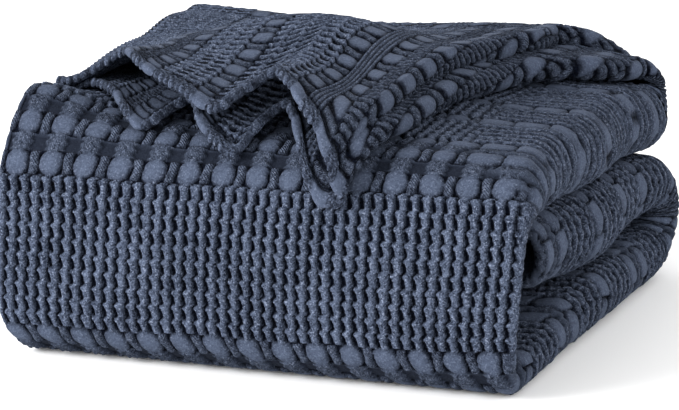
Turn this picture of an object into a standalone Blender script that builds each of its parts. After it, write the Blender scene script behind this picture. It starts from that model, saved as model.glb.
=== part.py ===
"""Folded waffle weave cotton blanket, metres, +Z up, front towards -Y.

One woven panel with a self hem, folded in half twice across its width, so that a strip of four
nested layers is left, open at the left and with one roll at the right. The strip is then folded
along its length: a middle strip, a back fold, the bottom strip, a wrap up the front, the top
strip, a second back fold, and a turned-over end (the flap) with two ruffled hems at the front.

The panel is an open grid, placed by two functions. The first gives the line that the outermost
layer follows seen from the side (Y, Z). The second gives the section across the strip (X and
the distance from that outermost layer). Solidify then gives the cloth its thickness.
"""
import math

import bmesh
import bpy
from mathutils import Vector

MM = 0.001

# ---- driving dimensions -----------------------------------------------------
CLOTH = 4.8 * MM                # woven thickness with its waffle relief pressed flat
HALF_WIDTH = 178 * MM           # left edge of the stack from its centre
FRONT_Y = -183.0 * MM           # middle of the outer layer on the front face
MIDDLE_TOP = 98 * MM            # height of the middle strip's upper layer
TOP_LEVEL = 153 * MM            # height of the top strip's outer layer
MIDDLE_END_Y = -134 * MM        # free end inside, behind the front wrap
BACK_FOLD_Y = 140 * MM          # where the lower back fold starts
FLAP_FOLD_Y = 153 * MM          # where the upper back fold starts
BOTTOM_ROUND = 27 * MM          # radius of the front's bottom edge
TOP_ROUND = 45 * MM             # radius of the front's top edge
FLAP_GAP = 1.8 * MM             # air between the top strip and the flap on it
FLAP_STEP = CLOTH + FLAP_GAP    # from the top strip's outer layer to the flap's lowest one
FLAP_STAGE = 8                  # the flap's stage, after the eight of the strip

# ---- the strip's section along its length -----------------------------------
# stage: 0-1 middle, 1-2 lower back fold, 2-3 bottom, 3-4 bottom rounding, 4-5 front face,
# 5-6 top rounding, 6-7 top, 7-8 upper back fold, 8-9 flap.
# pitch: spacing of the layers. closing: height of the right roll as a share of three pitches.
# right: outermost point of the right roll. inner: where the inner pair starts its own turn.
# upper_in: how far the upper lip of the right roll lies inside the lower one. lips: 0 where the
# roll is one round, 1 where it is parted in two lips. left: left end of the strip. Sizes in mm.
SECTION_COLUMNS = ("stage", "pitch", "closing", "right", "inner", "upper_in", "lips", "left")
SECTIONS = (
    (0.00, 14.5, 0.86, 173, 131, 0, 0.0, 172),
    (0.45, 17.2, 1.00, 182, 148, 0, 0.0, 175),
    (0.75, 16.4, 1.00, 186, 152, 0, 0.0, 177),
    (1.00, 14.4, 1.00, 188, 157, 0, 0.0, 177),
    (1.50, 12.6, 1.00, 191, 163, 0, 0.0, 177),
    (2.00, 11.4, 1.00, 190, 163, 0, 0.0, 176),
    (2.50, 11.4, 1.00, 184, 157, 0, 0.0, 173),
    (2.85, 7.8, 0.98, 178, 143, 0, 0.0, 167),
    (3.30, 6.4, 0.66, 175, 126, 0, 0.0, 169),
    (4.00, 6.1, 0.38, 178, 128, 0, 0.0, 179),
    (5.00, 6.2, 0.42, 182, 131, 0, 0.0, 179),
    (5.40, 10.0, 0.86, 184, 136, 0, 0.0, 178),
    (5.70, 12.2, 1.00, 184, 146, 0, 0.0, 178),
    (6.00, 13.2, 1.00, 184, 152, 0, 0.0, 178),
    (6.40, 15.5, 1.00, 185, 151, 0, 0.0, 178),
    (7.00, 15.2, 1.00, 186, 142, 0, 0.0, 178),
    (7.50, 11.0, 1.00, 187, 120, 18, 0.4, 177),
    (8.00, 7.2, 1.18, 169, 86, 56, 1.0, 177),
    (8.12, 7.2, 1.22, 155, 78, 42, 1.0, 177),
    (8.24, 7.0, 1.28, 122, 62, 19, 1.0, 177),
    (8.36, 7.0, 1.32, 108, 52, 13, 1.0, 177),
    (8.55, 7.0, 1.30, 95, 40, 11, 1.0, 178),
    (8.78, 6.5, 1.26, 90, 36, 10, 0.9, 180),
    (9.00, 6.5, 1.08, 68, 24, 7, 0.4, 181),
)
STAGE_SAMPLES = (4, 5, 3, 4, 3, 5, 8, 5, 10)  # rows of the grid in each stage
FLAP_EASE = 0.35                # draws the flap's rows towards its end
PINCH_WIDTH = 34 * MM           # over which a roll closes or opens
ROLL_DEPTH = 0.78               # a large roll's bulge over its half height
TIGHT_ROLL = 4.0 * MM           # half height of a roll that is fully round
LOWER_LIP = 0.42                # share of a parted roll that is its lower lip
UPPER_LIP = 0.58                # where its upper lip starts
UPPER_BULGE = 2.5 * MM          # how far the upper lip stands out

# ---- samples across the strip ------------------------------------------------
OUTER_SAMPLES = 17              # each of the two layers that show their hems
HIDDEN_SAMPLES = 6              # each of the two layers inside
ROLL_SAMPLES = 9                # the right roll
TURN_SAMPLES = 4                # the two tight turns

# ---- the flap's end ------------------------------------------------------------
# across: place along the hem. reach: distance from the upper back fold, measured over the
# top. lift: height of the ruffle above its rest. Millimetres.
HEM_COLUMNS = ("across", "reach", "lift")
LOWER_HEM = (
    (-181, 240, 0.5),
    (-152, 236, 1.0),
    (-127, 261, 1.5),
    (-102, 297, 1.0),
    (-84, 308, 0.0),
    (-66, 276, 9.0),
    (-48, 303, 5.0),
    (-28, 320, 0.0),
    (-14, 322, 0.0),
    (0, 277, 11.0),
    (13, 293, 9.0),
    (26, 316, 4.0),
    (38, 340, 3.0),
    (50, 355, 3.0),
    (72, 352, 3.0),
)
UPPER_HEM = (
    (-181, 240, -1.0),
    (-164, 243, -1.0),
    (-150, 236, 3.5),
    (-131, 235, 8.5),
    (-111, 264, 10.0),
    (-90, 285, 8.0),
    (-60, 299, 4.0),
    (-33, 309, 0.0),
    (-20, 297, 5.0),
    (-7, 275, 12.0),
    (7, 289, 12.0),
    (29, 309, 6.0),
    (41, 318, 1.0),
    (52, 332, -1.0),
    (72, 346, -2.0),
)
INNER_HEM_REACH = 165 * MM      # the two hidden layers stop here
RUFFLE_START = 0.68             # share of the flap's length where the ruffles begin

# ---- soft unevenness of the whole stack ---------------------------------------
# x, y: centre. wide, deep: reach along X and Y. height: above or below the level top. In mm.
HUMP_COLUMNS = ("x", "y", "wide", "deep", "height")
HUMPS = (
    (-200, -118, 85, 60, 11.0),
    (-210, 70, 150, 85, -16.0),
    (-215, 165, 80, 60, -4.0),
    (-35, 165, 125, 95, -14.0),
    (60, 60, 110, 80, -14.0),
    (180, 160, 90, 60, -15.0),
    (-20, 20, 95, 82, 30.0),
    (85, 100, 70, 70, 9.0),
)
FRONT_BOW = 3.5 * MM            # the front face stands proud in its middle
BOW_LENGTH = 4.8 * HALF_WIDTH   # full wave across the front that the bow is the crest of
LEVEL_RISE = 2.0 * BOTTOM_ROUND # height over which the bow and the wave begin
ROLL_WAVE = 2.4 * MM            # the rolls' uneven bulge along the depth
ROLL_WAVE_LENGTH = 150 * MM
ROLL_WAVE_HEIGHT = 420 * MM
CENTRE_X = 6.1 * MM             # middle of the finished stack, which goes to the origin
CENTRE_Y = -2.4 * MM

COLOUR = (0.045, 0.066, 0.120, 1.0)
ROUGHNESS = 0.92


def smooth(t):
    """Ease from 0 to 1."""
    t = min(max(t, 0.0), 1.0)
    return t * t * (3.0 - 2.0 * t)


def slope(rows, index, column):
    """The slope of a table's column at one of its rows."""
    before = rows[max(index - 1, 0)]
    after = rows[min(index + 1, len(rows) - 1)]
    return (after[column] - before[column]) / (after[0] - before[0])


def read_row(rows, columns, place):
    """Read a table at a place in its first column, on a smooth curve through its rows."""
    place = min(max(place, rows[0][0]), rows[-1][0])
    index = 0
    while place > rows[index + 1][0]:
        index += 1
    low = rows[index]
    high = rows[index + 1]
    span = high[0] - low[0]
    t = (place - low[0]) / span
    values = [place]
    for column in range(1, len(columns)):
        start = low[column]
        end = high[column]
        leave = slope(rows, index, column) * span
        arrive = slope(rows, index + 1, column) * span
        bend = (2.0 * t ** 3 - 3.0 * t ** 2 + 1.0) * start + (3.0 * t ** 2 - 2.0 * t ** 3) * end
        bend += (t ** 3 - 2.0 * t ** 2 + t) * leave + (t ** 3 - t ** 2) * arrive
        values.append(bend)
    return dict(zip(columns, values))


def arc(centre_y, centre_z, radius, start, turn, share):
    """A point on an arc in the side view, with its inward unit normal."""
    angle = math.radians(start + turn * share)
    out_y = math.cos(angle)
    out_z = math.sin(angle)
    return (centre_y + radius * out_y, centre_z + radius * out_z), (-out_y, -out_z)


def line(start, end, normal, share):
    """A point on a straight stretch in the side view, with its given normal."""
    y = start[0] + (end[0] - start[0]) * share
    z = start[1] + (end[1] - start[1]) * share
    return (y, z), normal


def outer_line(stage):
    """The outermost layer's line, stages 0 to 8: its point and the way to the inner layers."""
    floor = CLOTH / 2.0
    back_radius = (MIDDLE_TOP - floor) / 2.0
    flap_radius = FLAP_STEP / 2.0
    index = min(int(stage), FLAP_STAGE - 1)
    share = stage - index
    bottom_y = FRONT_Y + BOTTOM_ROUND
    top_y = FRONT_Y + TOP_ROUND
    if index == 0:
        return line((MIDDLE_END_Y, MIDDLE_TOP), (BACK_FOLD_Y, MIDDLE_TOP), (0.0, -1.0), share)
    if index == 1:
        return arc(BACK_FOLD_Y, floor + back_radius, back_radius, 90.0, -180.0, share)
    if index == 2:
        return line((BACK_FOLD_Y, floor), (bottom_y, floor), (0.0, 1.0), share)
    if index == 3:
        return arc(bottom_y, floor + BOTTOM_ROUND, BOTTOM_ROUND, 270.0, -90.0, share)
    if index == 4:
        low = (FRONT_Y, floor + BOTTOM_ROUND)
        high = (FRONT_Y, TOP_LEVEL - TOP_ROUND)
        return line(low, high, (1.0, 0.0), share)
    if index == 5:
        return arc(top_y, TOP_LEVEL - TOP_ROUND, TOP_ROUND, 180.0, -90.0, share)
    if index == 6:
        return line((top_y, TOP_LEVEL), (FLAP_FOLD_Y, TOP_LEVEL), (0.0, -1.0), share)
    point, normal = arc(FLAP_FOLD_Y, TOP_LEVEL + flap_radius, flap_radius, -90.0, 180.0, share)
    return point, (-normal[0], -normal[1])


def over_top(reach):
    """Follow the top strip's outer layer forwards from the upper back fold and down the front."""
    top_y = FRONT_Y + TOP_ROUND
    straight = FLAP_FOLD_Y - top_y
    if reach <= straight:
        return (FLAP_FOLD_Y - reach, TOP_LEVEL), (0.0, 1.0)
    turn = (reach - straight) / (TOP_ROUND + FLAP_STEP)
    out = (-math.sin(turn), math.cos(turn))
    return (top_y + TOP_ROUND * out[0], TOP_LEVEL - TOP_ROUND + TOP_ROUND * out[1]), out


def roll_bulge(closed):
    """How far a roll of a given height stands out sideways."""
    return closed / 2.0 * ROLL_DEPTH + TIGHT_ROLL * (1.0 - ROLL_DEPTH)


def roll_point(share, closed, upper_in, lips):
    """A point on the right roll, from the outermost layer round to the innermost: one round,
    or a lower lip, a crease and an upper lip that is set in."""
    angle = math.pi * share
    round_x = roll_bulge(closed) * math.sin(angle) - upper_in * smooth(share)
    round_height = closed / 2.0 * (1.0 - math.cos(angle))
    if share < LOWER_LIP:
        turn = math.pi * share / LOWER_LIP
        lip_x = closed / 4.0 * math.sin(turn)
        lip_height = closed / 4.0 * (1.0 - math.cos(turn))
    else:
        shelf = min((share - LOWER_LIP) / (UPPER_LIP - LOWER_LIP), 1.0)
        rise = max((share - UPPER_LIP) / (1.0 - UPPER_LIP), 0.0)
        lip_x = UPPER_BULGE * math.sin(math.pi * rise) - upper_in * shelf
        lip_height = closed / 2.0 * (1.0 + rise)
    x = round_x + (lip_x - round_x) * lips
    return x, round_height + (lip_height - round_height) * lips


def section(stage):
    """The strip's section: for each sample its X, its height over the outermost layer, and
    whether it is of the inner pair (1) or not (0). Also the height of the four layers."""
    row = read_row(SECTIONS, SECTION_COLUMNS, stage)
    pitch = row["pitch"] * MM
    full = 3.0 * pitch
    closed = full * row["closing"]
    right = row["right"] * MM - CLOTH / 2.0
    left = -row["left"] * MM + CLOTH / 2.0
    upper_in = row["upper_in"] * MM
    bulge = roll_bulge(closed)
    low_end = right - bulge + (bulge - closed / 4.0) * row["lips"]
    high_end = low_end - upper_in
    inner_end = row["inner"] * MM
    samples = []
    for step in range(OUTER_SAMPLES):
        share = step / (OUTER_SAMPLES - 1)
        samples.append((left + (low_end - left) * share, 0.0, 0.0))
    for step in range(1, ROLL_SAMPLES):
        x, height = roll_point(step / ROLL_SAMPLES, closed, upper_in, row["lips"])
        samples.append((low_end + x, height, 0.0))
    turn_x = left + pitch / 2.0
    for step in range(OUTER_SAMPLES):
        share = step / (OUTER_SAMPLES - 1)
        x = high_end + (turn_x - high_end) * share
        rest = smooth((high_end - x) / PINCH_WIDTH)
        samples.append((x, closed + (full - closed) * rest, 0.0))
    for step in range(1, TURN_SAMPLES):
        share = step / TURN_SAMPLES
        angle = math.pi * share
        x = turn_x - pitch / 2.0 * math.sin(angle)
        samples.append((x, pitch * (2.5 + 0.5 * math.cos(angle)), share))
    for step in range(HIDDEN_SAMPLES):
        share = step / (HIDDEN_SAMPLES - 1)
        samples.append((turn_x + (inner_end - turn_x) * share, 2.0 * pitch, 1.0))
    for step in range(1, TURN_SAMPLES):
        angle = math.pi * step / TURN_SAMPLES
        x = inner_end + pitch / 2.0 * math.sin(angle)
        samples.append((x, pitch * (1.5 + 0.5 * math.cos(angle)), 1.0))
    for step in range(HIDDEN_SAMPLES):
        share = step / (HIDDEN_SAMPLES - 1)
        samples.append((inner_end + (left - inner_end) * share, pitch, 1.0))
    return samples, full


def flap_point(share, x, height, full, inner):
    """A point of the flap: the section carried over the top strip, ruffled near its hems."""
    across = x / MM
    lower = read_row(LOWER_HEM, HEM_COLUMNS, across)
    upper = read_row(UPPER_HEM, HEM_COLUMNS, across)
    mix = min(height / full, 1.0)
    hem = (lower["reach"] + (upper["reach"] - lower["reach"]) * mix) * MM
    hem += (INNER_HEM_REACH - hem) * inner
    ruffle = smooth((share - RUFFLE_START) / (1.0 - RUFFLE_START)) * (1.0 - inner)
    lift = (lower["lift"] + (upper["lift"] - lower["lift"]) * mix) * MM * ruffle
    (y, z), out = over_top(hem * share)
    away = FLAP_STEP + height + lift
    return y + out[0] * away, z + out[1] * away


def uneven(x, y, z):
    """Soft unevenness, which grows with height so that the underside stays flat."""
    rise = smooth((z - CLOTH) / TOP_LEVEL)
    dz = 0.0
    for row in HUMPS:
        hump = dict(zip(HUMP_COLUMNS, row))
        away_x = (x / MM - hump["x"]) / hump["wide"]
        away_y = (y / MM - hump["y"]) / hump["deep"]
        dz += hump["height"] * MM * math.exp(-away_x ** 2 - away_y ** 2) * rise
    level = smooth(z / LEVEL_RISE)
    middle = math.cos(2.0 * math.pi * x / BOW_LENGTH)
    dy = -FRONT_BOW * level * middle * smooth(-y / -FRONT_Y)
    side = smooth(x / HALF_WIDTH) * level
    phase = 2.0 * math.pi * (y / ROLL_WAVE_LENGTH + z / ROLL_WAVE_HEIGHT)
    dx = ROLL_WAVE * side * math.sin(phase)
    return Vector((x + dx - CENTRE_X, y + dy - CENTRE_Y, z + dz))


def stage_rows():
    """The stages at which the grid has a row."""
    rows = [0.0]
    for index, count in enumerate(STAGE_SAMPLES):
        for step in range(count):
            share = (step + 1) / count
            if index == FLAP_STAGE:
                share *= 1.0 + FLAP_EASE * (1.0 - share)
            rows.append(index + share)
    return rows


def place(stage, x, height, full, inner):
    """Where one sample of the section lies."""
    if stage > FLAP_STAGE:
        y, z = flap_point(stage - FLAP_STAGE, x, height, full, inner)
    else:
        (y, z), inward = outer_line(stage)
        y += inward[0] * height
        z += inward[1] * height
    return uneven(x, y, z)


def clear_scene():
    for old in list(bpy.data.objects):
        bpy.data.objects.remove(old, do_unlink=True)


def cotton():
    material = bpy.data.materials.new("cotton")
    material.use_nodes = True
    shader = material.node_tree.nodes["Principled BSDF"]
    shader.inputs["Base Color"].default_value = COLOUR
    shader.inputs["Roughness"].default_value = ROUGHNESS
    shader.inputs["Metallic"].default_value = 0.0
    return material


def blanket(collection):
    """The panel: a grid whose rows follow the stages and whose columns follow the section."""
    rows = stage_rows()
    columns = len(section(0.0)[0])
    mesh = bpy.data.meshes.new("blanket")
    grid = bmesh.new()
    bmesh.ops.create_grid(grid, x_segments=columns - 1, y_segments=len(rows) - 1, size=0.5)
    grid.verts.ensure_lookup_table()
    for number, vert in enumerate(grid.verts):
        stage = rows[number // columns]
        samples, full = section(stage)
        x, height, inner = samples[number % columns]
        vert.co = place(stage, x, height, full, inner)
    grid.to_mesh(mesh)
    grid.free()
    panel = bpy.data.objects.new("blanket", mesh)
    collection.objects.link(panel)
    panel.data.materials.append(cotton())
    thickness = panel.modifiers.new("cloth", "SOLIDIFY")
    thickness.thickness = CLOTH
    thickness.offset = 0.0
    return panel


def main():
    clear_scene()
    collection = bpy.data.collections.new("waffle_blanket")
    bpy.context.scene.collection.children.link(collection)
    blanket(collection)


main()
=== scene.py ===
"""A folded waffle weave cotton blanket: its woven surface and hems, and a plain studio round it.

The frame's one solid is replaced by thin skins that lie on its folds. Each skin is a grid of
points, placed by the solid's own formulas and then raised or lowered by the weave's relief.
"""

import math

import bmesh
import bpy
import numpy as np
from mathutils import Matrix, Vector


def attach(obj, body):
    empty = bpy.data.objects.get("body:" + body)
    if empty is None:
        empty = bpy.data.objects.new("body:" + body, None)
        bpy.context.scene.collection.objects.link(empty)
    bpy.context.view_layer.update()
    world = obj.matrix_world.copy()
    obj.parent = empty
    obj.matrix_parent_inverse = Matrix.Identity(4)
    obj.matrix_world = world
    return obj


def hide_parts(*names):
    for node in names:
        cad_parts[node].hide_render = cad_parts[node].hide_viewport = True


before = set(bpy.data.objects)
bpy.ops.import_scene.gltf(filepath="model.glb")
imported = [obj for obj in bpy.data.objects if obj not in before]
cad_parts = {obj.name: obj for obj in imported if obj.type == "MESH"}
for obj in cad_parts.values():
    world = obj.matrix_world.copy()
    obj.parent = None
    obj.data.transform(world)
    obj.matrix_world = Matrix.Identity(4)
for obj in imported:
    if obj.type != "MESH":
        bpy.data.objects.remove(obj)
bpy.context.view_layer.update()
scene = bpy.context.scene

NODE = "blanket"


# ---- the folds
# These are the solid's own sizes and formulas, so that the skins lie on its folds.
MM = 0.001
CLOTH = 4.8 * MM  # thickness with the weave's relief pressed flat
HALF_WIDTH = 178 * MM  # to the stack's left edge
FRONT_Y = -183.0 * MM  # the front's outer layer
MIDDLE_TOP = 98 * MM  # the middle strip's upper layer
TOP_LEVEL = 153 * MM  # the top strip's outer layer
MIDDLE_END_Y = -134 * MM  # the middle strip's free end inside
BACK_FOLD_Y = 140 * MM  # start of the lower back fold
FLAP_FOLD_Y = 153 * MM  # start of the upper back fold
BOTTOM_ROUND = 27 * MM  # radius of the front's bottom edge
TOP_ROUND = 45 * MM  # radius of its top edge
FLAP_GAP = 1.8 * MM  # air under the flap
FLAP_STEP = CLOTH + FLAP_GAP  # from the top's outer layer to the flap's
FLAP_STAGE = 8  # the flap's stage, after the eight of the strip

# Stages: 0-1 middle, 1-2 lower back fold, 2-3 bottom, 3-4 bottom rounding, 4-5 front face,
# 5-6 top rounding, 6-7 top, 7-8 upper back fold, 8-9 flap. Section places: 0-1 outer layer,
# 1-2 right roll, 2-3 second layer, 3-4 left turn, 4-5 third layer, 5-6 inner turn, 6-7 fourth.
# Columns: stage, spacing of the layers, the right roll's height as a share of three spacings,
# its outermost point, where the inner turn starts, how far the roll's upper lip lies inside the
# lower one, 0 for one round to 1 for two lips, left end. Sizes in mm.
SECTIONS = (
    (0.00, 14.5, 0.86, 173, 131, 0, 0.0, 172),
    (0.45, 17.2, 1.00, 182, 148, 0, 0.0, 175),
    (0.75, 16.4, 1.00, 186, 152, 0, 0.0, 177),
    (1.00, 14.4, 1.00, 188, 157, 0, 0.0, 177),
    (1.50, 12.6, 1.00, 191, 163, 0, 0.0, 177),
    (2.00, 11.4, 1.00, 190, 163, 0, 0.0, 176),
    (2.50, 11.4, 1.00, 184, 157, 0, 0.0, 173),
    (2.85, 7.8, 0.98, 178, 143, 0, 0.0, 167),
    (3.30, 6.4, 0.66, 175, 126, 0, 0.0, 169),
    (4.00, 6.1, 0.38, 178, 128, 0, 0.0, 179),
    (5.00, 6.2, 0.42, 182, 131, 0, 0.0, 179),
    (5.40, 10.0, 0.86, 184, 136, 0, 0.0, 178),
    (5.70, 12.2, 1.00, 184, 146, 0, 0.0, 178),
    (6.00, 13.2, 1.00, 184, 152, 0, 0.0, 178),
    (6.40, 15.5, 1.00, 185, 151, 0, 0.0, 178),
    (7.00, 15.2, 1.00, 186, 142, 0, 0.0, 178),
    (7.50, 11.0, 1.00, 187, 120, 18, 0.4, 177),
    (8.00, 7.2, 1.18, 169, 86, 56, 1.0, 177),
    (8.12, 7.2, 1.22, 155, 78, 42, 1.0, 177),
    (8.24, 7.0, 1.28, 122, 62, 19, 1.0, 177),
    (8.36, 7.0, 1.32, 108, 52, 13, 1.0, 177),
    (8.55, 7.0, 1.30, 95, 40, 11, 1.0, 178),
    (8.78, 6.5, 1.26, 90, 36, 10, 0.9, 180),
    (9.00, 6.5, 1.08, 68, 24, 7, 0.4, 181),
)
PINCH_WIDTH = 34 * MM  # over which a roll closes or opens
ROLL_DEPTH = 0.78  # a large roll's bulge over its half height
TIGHT_ROLL = 4.0 * MM  # half height of a roll that is fully round
LOWER_LIP = 0.42  # share of a parted roll that is its lower lip
UPPER_LIP = 0.58  # where its upper lip starts
UPPER_BULGE = 2.5 * MM  # how far the upper lip stands out

# Columns in mm: place along the hem, distance from the upper back fold over the top, and height
# of the ruffle above its rest.
LOWER_HEM = (
    (-181, 240, 0.5),
    (-152, 236, 1.0),
    (-127, 261, 1.5),
    (-102, 297, 1.0),
    (-84, 308, 0.0),
    (-66, 276, 9.0),
    (-48, 303, 5.0),
    (-28, 320, 0.0),
    (-14, 322, 0.0),
    (0, 277, 11.0),
    (13, 293, 9.0),
    (26, 316, 4.0),
    (38, 340, 3.0),
    (50, 355, 3.0),
    (72, 352, 3.0),
)
UPPER_HEM = (
    (-181, 240, -1.0),
    (-164, 243, -1.0),
    (-150, 236, 3.5),
    (-131, 235, 8.5),
    (-111, 264, 10.0),
    (-90, 285, 8.0),
    (-60, 299, 4.0),
    (-33, 309, 0.0),
    (-20, 297, 5.0),
    (-7, 275, 12.0),
    (7, 289, 12.0),
    (29, 309, 6.0),
    (41, 318, 1.0),
    (52, 332, -1.0),
    (72, 346, -2.0),
)
INNER_HEM_REACH = 165 * MM  # the two hidden layers stop here
RUFFLE_START = 0.68  # share of the flap's length where the ruffles begin

# Columns: x and y of the centre, reach along each, and height above or below the level top. In mm.
HUMPS = (
    (-200, -118, 85, 60, 11.0),
    (-210, 70, 150, 85, -16.0),
    (-215, 165, 80, 60, -4.0),
    (-35, 165, 125, 95, -14.0),
    (60, 60, 110, 80, -14.0),
    (180, 160, 90, 60, -15.0),
    (-20, 20, 95, 82, 30.0),
    (85, 100, 70, 70, 9.0),
)
FRONT_BOW = 3.5 * MM  # the front stands proud in its middle
BOW_LENGTH = 4.8 * HALF_WIDTH  # full wave that the bow is the crest of
LEVEL_RISE = 2.0 * BOTTOM_ROUND # height over which the bow and the wave begin
ROLL_WAVE = 2.4 * MM  # the rolls' uneven bulge along the depth
ROLL_WAVE_LENGTH = 150 * MM
ROLL_WAVE_HEIGHT = 420 * MM
CENTRE_X = 6.1 * MM  # the stack's middle
CENTRE_Y = -2.4 * MM


def smooth(t):
    """From 0 to 1 with soft ends."""
    t = np.clip(t, 0.0, 1.0)
    return t * t * (3.0 - 2.0 * t)


def table(rows, place):
    """Each column of a table at the given places, on a smooth curve through its rows."""
    rows = np.asarray(rows, float)
    key = rows[:, 0]
    place = np.clip(np.asarray(place, float), key[0], key[-1])
    before = np.vstack((rows[:1], rows[:-1]))
    after = np.vstack((rows[1:], rows[-1:]))
    slopes = (after - before) / (after[:, :1] - before[:, :1])
    index = np.clip(np.searchsorted(key, place, side="left") - 1, 0, len(key) - 2)
    span = key[index + 1] - key[index]
    t = ((place - key[index]) / span)[..., None]
    low, high = rows[index], rows[index + 1]
    leave = slopes[index] * span[..., None]
    arrive = slopes[index + 1] * span[..., None]
    curve = (2 * t ** 3 - 3 * t ** 2 + 1) * low + (3 * t ** 2 - 2 * t ** 3) * high
    curve = curve + (t ** 3 - 2 * t ** 2 + t) * leave + (t ** 3 - t ** 2) * arrive
    return [curve[..., i] for i in range(rows.shape[1])]


def outer_line(stage):
    """The outermost layer's line for stages 0 to 8: y, z and the inward normal."""
    stage = np.asarray(stage, float)
    index = np.minimum(stage.astype(int), 7)
    share = stage - index
    floor = CLOTH / 2
    back = (MIDDLE_TOP - floor) / 2
    flap = FLAP_STEP / 2
    bottom_y = FRONT_Y + BOTTOM_ROUND
    top_y = FRONT_Y + TOP_ROUND
    out = np.zeros(stage.shape + (4,))

    def straight(at, a, b, n):
        m = index == at
        s = share[m]
        out[m] = np.stack((a[0] + (b[0] - a[0]) * s, a[1] + (b[1] - a[1]) * s,
                           np.full_like(s, n[0]), np.full_like(s, n[1])), -1)

    def arc(at, cy, cz, r, start, turn, sign=1.0):
        m = index == at
        a = np.radians(start + turn * share[m])
        out[m] = np.stack((cy + r * np.cos(a), cz + r * np.sin(a), -sign * np.cos(a), -sign * np.sin(a)), -1)

    straight(0, (MIDDLE_END_Y, MIDDLE_TOP), (BACK_FOLD_Y, MIDDLE_TOP), (0, -1))
    arc(1, BACK_FOLD_Y, floor + back, back, 90, -180)
    straight(2, (BACK_FOLD_Y, floor), (bottom_y, floor), (0, 1))
    arc(3, bottom_y, floor + BOTTOM_ROUND, BOTTOM_ROUND, 270, -90)
    straight(4, (FRONT_Y, floor + BOTTOM_ROUND), (FRONT_Y, TOP_LEVEL - TOP_ROUND), (1, 0))
    arc(5, top_y, TOP_LEVEL - TOP_ROUND, TOP_ROUND, 180, -90)
    straight(6, (top_y, TOP_LEVEL), (FLAP_FOLD_Y, TOP_LEVEL), (0, -1))
    arc(7, FLAP_FOLD_Y, TOP_LEVEL + flap, flap, -90, 180, -1.0)
    return out


def over_top(reach):
    """The flap's line over the top and down the front: y, z and the outward normal."""
    top_y = FRONT_Y + TOP_ROUND
    straight = FLAP_FOLD_Y - top_y
    turn = np.maximum(reach - straight, 0.0) / (TOP_ROUND + FLAP_STEP)
    out_y, out_z = -np.sin(turn), np.cos(turn)
    y = np.where(reach <= straight, FLAP_FOLD_Y - reach, top_y + TOP_ROUND * out_y)
    z = np.where(reach <= straight, TOP_LEVEL, TOP_LEVEL - TOP_ROUND + TOP_ROUND * out_z)
    return y, z, out_y, out_z


def section(stage, c):
    """X, height over the outermost layer, inner share and full height at section places c."""
    stage, c = np.broadcast_arrays(stage, c)
    _, pitch, closing, right, inner_in, upper_in, lips, left = table(SECTIONS, stage)
    pitch = pitch * MM
    full = 3 * pitch
    closed = full * closing
    right = right * MM - CLOTH / 2
    left = -left * MM + CLOTH / 2
    upper_in = upper_in * MM
    bulge = closed / 2 * ROLL_DEPTH + TIGHT_ROLL * (1 - ROLL_DEPTH)
    low_end = right - bulge + (bulge - closed / 4) * lips
    high_end = low_end - upper_in
    inner_end = inner_in * MM
    turn_x = left + pitch / 2
    part = np.clip(c.astype(int), 0, 6)
    t = c - part
    # the roll
    angle = np.pi * t
    round_x = bulge * np.sin(angle) - upper_in * smooth(t)
    round_h = closed / 2 * (1 - np.cos(angle))
    turn = np.pi * np.minimum(t / LOWER_LIP, 1)
    shelf = np.clip((t - LOWER_LIP) / (UPPER_LIP - LOWER_LIP), 0, 1)
    rise = np.clip((t - UPPER_LIP) / (1 - UPPER_LIP), 0, None)
    low = t < LOWER_LIP
    lip_x = np.where(low, closed / 4 * np.sin(turn), UPPER_BULGE * np.sin(np.pi * rise) - upper_in * shelf)
    lip_h = np.where(low, closed / 4 * (1 - np.cos(turn)), closed / 2 * (1 + rise))
    roll_x = low_end + round_x + (lip_x - round_x) * lips
    roll_h = round_h + (lip_h - round_h) * lips
    # the layers and the turns
    bottom_x = high_end + (turn_x - high_end) * t
    rest = smooth((high_end - bottom_x) / PINCH_WIDTH)
    xs = (left + (low_end - left) * t, roll_x, bottom_x, turn_x - pitch / 2 * np.sin(angle),
          turn_x + (inner_end - turn_x) * t, inner_end + pitch / 2 * np.sin(angle),
          inner_end + (left - inner_end) * t)
    hs = (0 * t, roll_h, closed + (full - closed) * rest, pitch * (2.5 + 0.5 * np.cos(angle)),
          2 * pitch, pitch * (1.5 + 0.5 * np.cos(angle)), pitch)
    inner = (0 * t, 0 * t, 0 * t, t, 0 * t + 1, 0 * t + 1, 0 * t + 1)
    return np.choose(part, xs), np.choose(part, hs), np.choose(part, inner), full


def place(stage, c):
    """Points of the cloth's middle surface at stages and section places, in metres."""
    stage, c = np.broadcast_arrays(np.asarray(stage, float), np.asarray(c, float))
    x, h, inner, full = section(stage, c)
    line = outer_line(np.minimum(stage, FLAP_STAGE))
    y = line[..., 0] + line[..., 2] * h
    z = line[..., 1] + line[..., 3] * h
    # the flap
    share = np.maximum(stage - FLAP_STAGE, 0.0)
    across = x / MM
    _, low_reach, low_lift = table(LOWER_HEM, across)
    _, up_reach, up_lift = table(UPPER_HEM, across)
    mix = np.minimum(h / full, 1.0)
    hem = (low_reach + (up_reach - low_reach) * mix) * MM
    hem = hem + (INNER_HEM_REACH - hem) * inner
    ruffle = smooth((share - RUFFLE_START) / (1 - RUFFLE_START)) * (1 - inner)
    lift = (low_lift + (up_lift - low_lift) * mix) * MM * ruffle
    fy, fz, oy, oz = over_top(hem * share)
    away = FLAP_STEP + h + lift
    flap = stage > FLAP_STAGE
    y = np.where(flap, fy + oy * away, y)
    z = np.where(flap, fz + oz * away, z)
    return uneven(x, y, z)


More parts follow.
